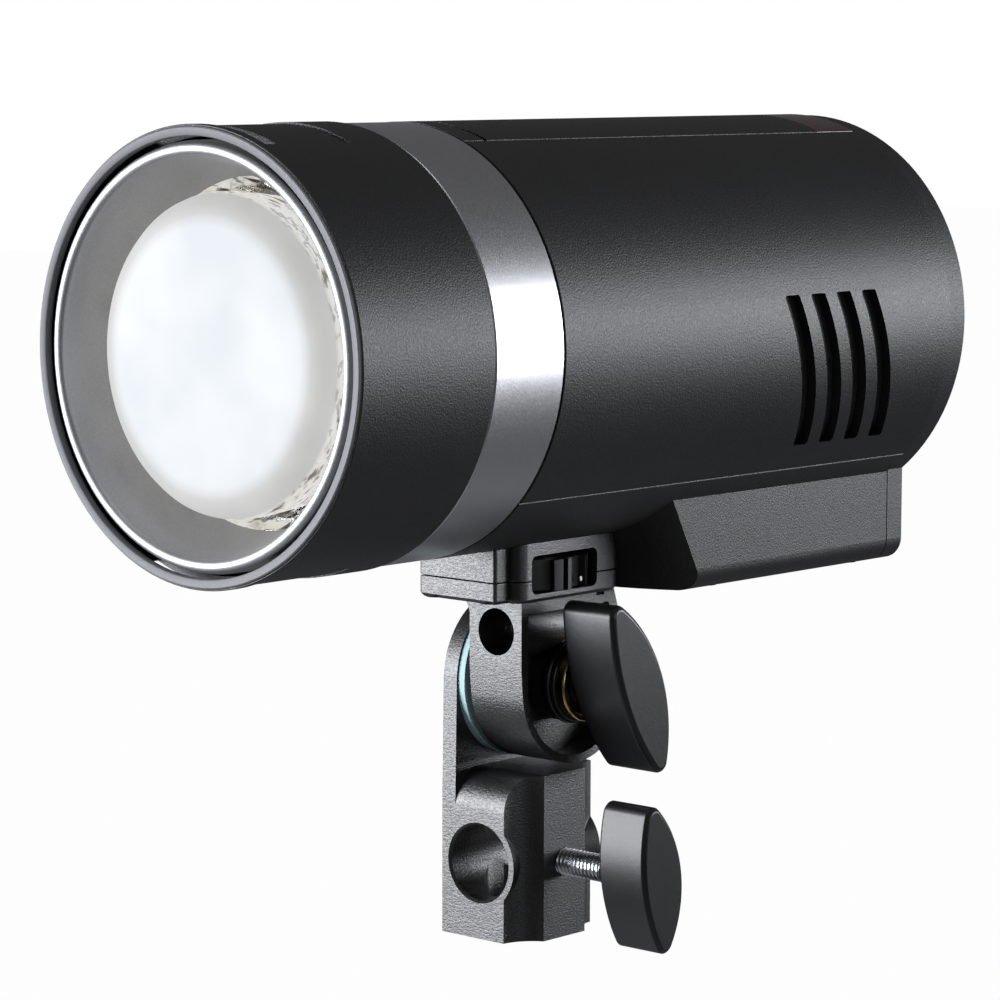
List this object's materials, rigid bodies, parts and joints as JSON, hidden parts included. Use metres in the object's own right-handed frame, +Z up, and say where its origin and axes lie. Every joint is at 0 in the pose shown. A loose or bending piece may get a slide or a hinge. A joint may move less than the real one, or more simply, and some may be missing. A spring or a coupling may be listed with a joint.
{
  "type": "monolight strobe",
  "caption": "Battery-powered round studio flash head with frosted dome and silver ring, on a tilting stand bracket with two wing handles",
  "frame": {"origin": "centre of the spigot socket's mouth at the bottom of the receiver", "axes": "+Z up, the lamp head lies along Y and points along -Y, both wing handles are on +X"},
  "size_m": [0.09, 0.1974, 0.1731],
  "materials": {
    "barrel_black": "fine-grained satin moulding",
    "shell_black": "fine-grained satin moulding",
    "cover_black": "fine-grained satin moulding",
    "rim_silver": "satin",
    "ring_silver": "brushed satin",
    "reflector_satin": "spun satin",
    "reflector_hammered": "hammered bright",
    "dome_frosted": "frosted",
    "clip_steel": "plain",
    "socket_ceramic": "unglazed ceramic",
    "flash_glass": "clear",
    "phosphor_yellow": "phosphor gel",
    "inner_black": "plain",
    "sensor_red": "dark red translucent",
    "screen_glass": "glossy",
    "module_grey": "display",
    "key_grey": "soft touch",
    "dial_black": "knurled",
    "battery_black": "fine-grained satin moulding",
    "flap_rubber": "matt",
    "board_green": "solder mask",
    "capacitor_sleeve": "shrink sleeve",
    "bracket_cast": "wrinkle powder coat",
    "wheel_black": "satin",
    "handle_black": "satin",
    "brass": "turned",
    "zinc_steel": "zinc plated",
    "bolt_black": "blackened steel",
    "disc_teal": "friction lining",
    "pad_brass": "turned"
  },
  "bodies": {
    "receiver": {"stand_receiver": "bracket_cast", "friction_disc": "disc_teal", "tilt_bolt": "bolt_black"},
    "clamp": {"clamp_pad": "pad_brass"},
    "lock_knob": {"lock_screw": "zinc_steel", "lock_handle": "handle_black"},
    "tilt_lever": {"tilt_handle": "handle_black", "tilt_nut": "brass", "tilt_washers": "bolt_black"},
    "wheel": {"thumb_wheel": "wheel_black", "wheel_stud": "zinc_steel"},
    "dial": {"control_dial": "dial_black"},
    "set_key": {"set_button": "key_grey"},
    "test_key": {"test_button": "key_grey"},
    "power_key": {"power_button": "key_grey"},
    "battery": {"battery_pack": "battery_black", "battery_contacts": "clip_steel"},
    "latch": {"battery_latch": "battery_black"},
    "flap": {"port_cover": "flap_rubber"},
    "fan": {"fan_impeller": "inner_black"},
    "key_1": {"function_button_1": "key_grey"},
    "key_2": {"function_button_2": "key_grey"},
    "key_3": {"function_button_3": "key_grey"},
    "key_4": {"function_button_4": "key_grey"},
    "head": {"accessory_ring": "ring_silver", "bottom_shell": "shell_black", "box_screws": "bolt_black", "bracket_saddle": "bracket_cast", "bracket_screws": "bolt_black", "display_module": "module_grey", "display_window": "screen_glass", "dome_clips": "clip_steel", "fan_frame": "inner_black", "flash_capacitor_1": "capacitor_sleeve", "flash_capacitor_2": "capacitor_sleeve", "flash_capacitor_3": "capacitor_sleeve", "flash_tube": "flash_glass", "front_barrel": "barrel_black", "front_rim": "rim_silver", "frosted_dome": "dome_frosted", "head_core": "inner_black", "lamp_module": "phosphor_yellow", "lamp_socket": "socket_ceramic", "left_side_shell": "shell_black", "left_vent_screen": "inner_black", "main_board": "board_green", "port_block": "inner_black", "power_board": "board_green", "rear_cover": "cover_black", "reflector": "reflector_satin", "reflector_cup": "reflector_hammered", "right_side_shell": "shell_black", "right_vent_screen": "inner_black", "sensor_window": "sensor_red", "tilt_bracket": "bracket_cast", "top_strip": "shell_black", "tripod_bush": "brass"}
  },
  "joints": [
    {"name": "tilt", "type": "hinge", "parent": "receiver", "child": "head", "pos_m": [0, 0.0044, 0.0543], "axis": [1, 0, 0], "range_deg": [-90, 90]},
    {"name": "tilt_lever_turn", "type": "hinge", "parent": "receiver", "child": "tilt_lever", "pos_m": [0, 0.0044, 0.0543], "axis": [1, 0, 0], "range_deg": [0, 180]},
    {"name": "lock_travel", "type": "slide", "parent": "receiver", "child": "clamp", "axis": [1, 0, 0], "range_m": [0, 0.003]},
    {"name": "lock_turn", "type": "hinge", "parent": "clamp", "child": "lock_knob", "pos_m": [0, 0, 0.0163], "axis": [1, 0, 0], "range_deg": [0, 1080]},
    {"name": "wheel_turn", "type": "hinge", "parent": "head", "child": "wheel", "pos_m": [0, -0.0026, 0.0784], "axis": [0, 0, 1], "range_deg": [0, 1080]},
    {"name": "dial_turn", "type": "hinge", "parent": "head", "child": "dial", "pos_m": [0, 0.0974, 0.1173], "axis": [0, 1, 0], "continuous": true},
    {"name": "set_press", "type": "slide", "parent": "head", "child": "set_key", "axis": [0, -1, 0], "range_m": [0, 0.0008], "stiffness_N_per_m": 1500, "springref_m": -0.0004},
    {"name": "test_press", "type": "slide", "parent": "head", "child": "test_key", "axis": [0, -1, 0], "range_m": [0, 0.0008], "stiffness_N_per_m": 1500, "springref_m": -0.0004},
    {"name": "power_press", "type": "slide", "parent": "head", "child": "power_key", "axis": [0, -1, 0], "range_m": [0, 0.0008], "stiffness_N_per_m": 1500, "springref_m": -0.0004},
    {"name": "key_1_press", "type": "slide", "parent": "head", "child": "key_1", "axis": [0, -1, 0], "range_m": [0, 0.0008], "stiffness_N_per_m": 1500, "springref_m": -0.0004},
    {"name": "key_2_press", "type": "slide", "parent": "head", "child": "key_2", "axis": [0, -1, 0], "range_m": [0, 0.0008], "stiffness_N_per_m": 1500, "springref_m": -0.0004},
    {"name": "key_3_press", "type": "slide", "parent": "head", "child": "key_3", "axis": [0, -1, 0], "range_m": [0, 0.0008], "stiffness_N_per_m": 1500, "springref_m": -0.0004},
    {"name": "key_4_press", "type": "slide", "parent": "head", "child": "key_4", "axis": [0, -1, 0], "range_m": [0, 0.0008], "stiffness_N_per_m": 1500, "springref_m": -0.0004},
    {"name": "battery_slide", "type": "slide", "parent": "head", "child": "battery", "axis": [0, 1, 0], "range_m": [0, 0.078]},
    {"name": "latch_slide", "type": "slide", "parent": "battery", "child": "latch", "axis": [0, 0, 1], "range_m": [0, 0.002], "stiffness_N_per_m": 800, "springref_m": -0.0005},
    {"name": "flap_swing", "type": "hinge", "parent": "head", "child": "flap", "pos_m": [-0.04244, 0.0122, 0.1206], "axis": [0, -1, 0], "range_deg": [0, 90]},
    {"name": "fan_spin", "type": "hinge", "parent": "head", "child": "fan", "pos_m": [0.023, 0.0542, 0.1267], "axis": [1, 0, 0], "continuous": true}
  ],
  "couplings": [
    {"joint": "lock_travel", "follows": "lock_turn", "m_per_rad": 0.00015915}
  ]
}
